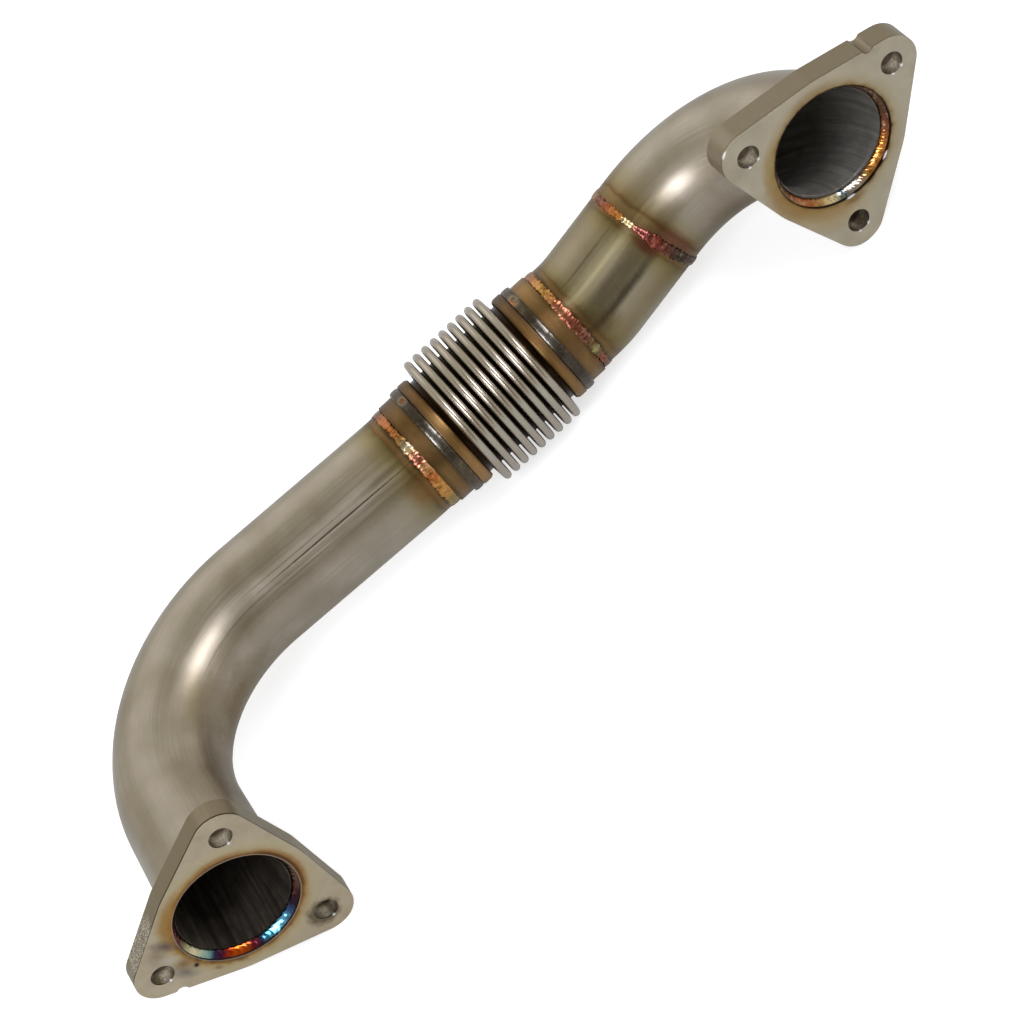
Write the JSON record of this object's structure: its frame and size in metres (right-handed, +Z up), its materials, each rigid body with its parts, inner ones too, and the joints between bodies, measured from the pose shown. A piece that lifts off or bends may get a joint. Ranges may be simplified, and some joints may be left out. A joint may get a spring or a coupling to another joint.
{
  "type": "turbo up-pipe",
  "caption": "Bent stainless exhaust pipe with a bellows in its middle and a triangular three-bolt flange on each end, joining a manifold to a turbocharger.",
  "frame": {"origin": "centre of the bounding box, at floor level, with the pipe lying as it comes to rest", "axes": "+X along the length towards the upper flange, +Z up, both flange faces look towards -Y"},
  "size_m": [0.5087, 0.1496, 0.0987],
  "materials": {
    "tube_steel": "satin stainless with heat tint near the welds",
    "flange_steel": "machined and blasted stainless",
    "bellows_steel": "bright formed stainless",
    "cap_steel": "stainless heat-tinted brown",
    "sleeve_steel": "stainless heat-tinted olive",
    "weld_dark": "charcoal weld bead",
    "weld_gold": "copper and gold heat-tinted weld bead",
    "weld_blue": "blue and purple heat-tinted weld bead"
  },
  "bodies": {
    "root": {"bellows": "bellows_steel", "elbow_weld": "weld_gold", "lower_cap_ring": "cap_steel", "lower_collar_weld": "weld_gold", "lower_flange": "flange_steel", "lower_flange_weld": "weld_blue", "lower_seam_weld": "weld_dark", "lower_sleeve": "sleeve_steel", "lower_tube": "tube_steel", "spool_tube": "tube_steel", "upper_cap_ring": "cap_steel", "upper_collar_weld": "weld_gold", "upper_elbow": "tube_steel", "upper_flange": "flange_steel", "upper_flange_weld": "weld_gold", "upper_seam_weld": "weld_dark", "upper_sleeve": "sleeve_steel"}
  },
  "joints": []
}
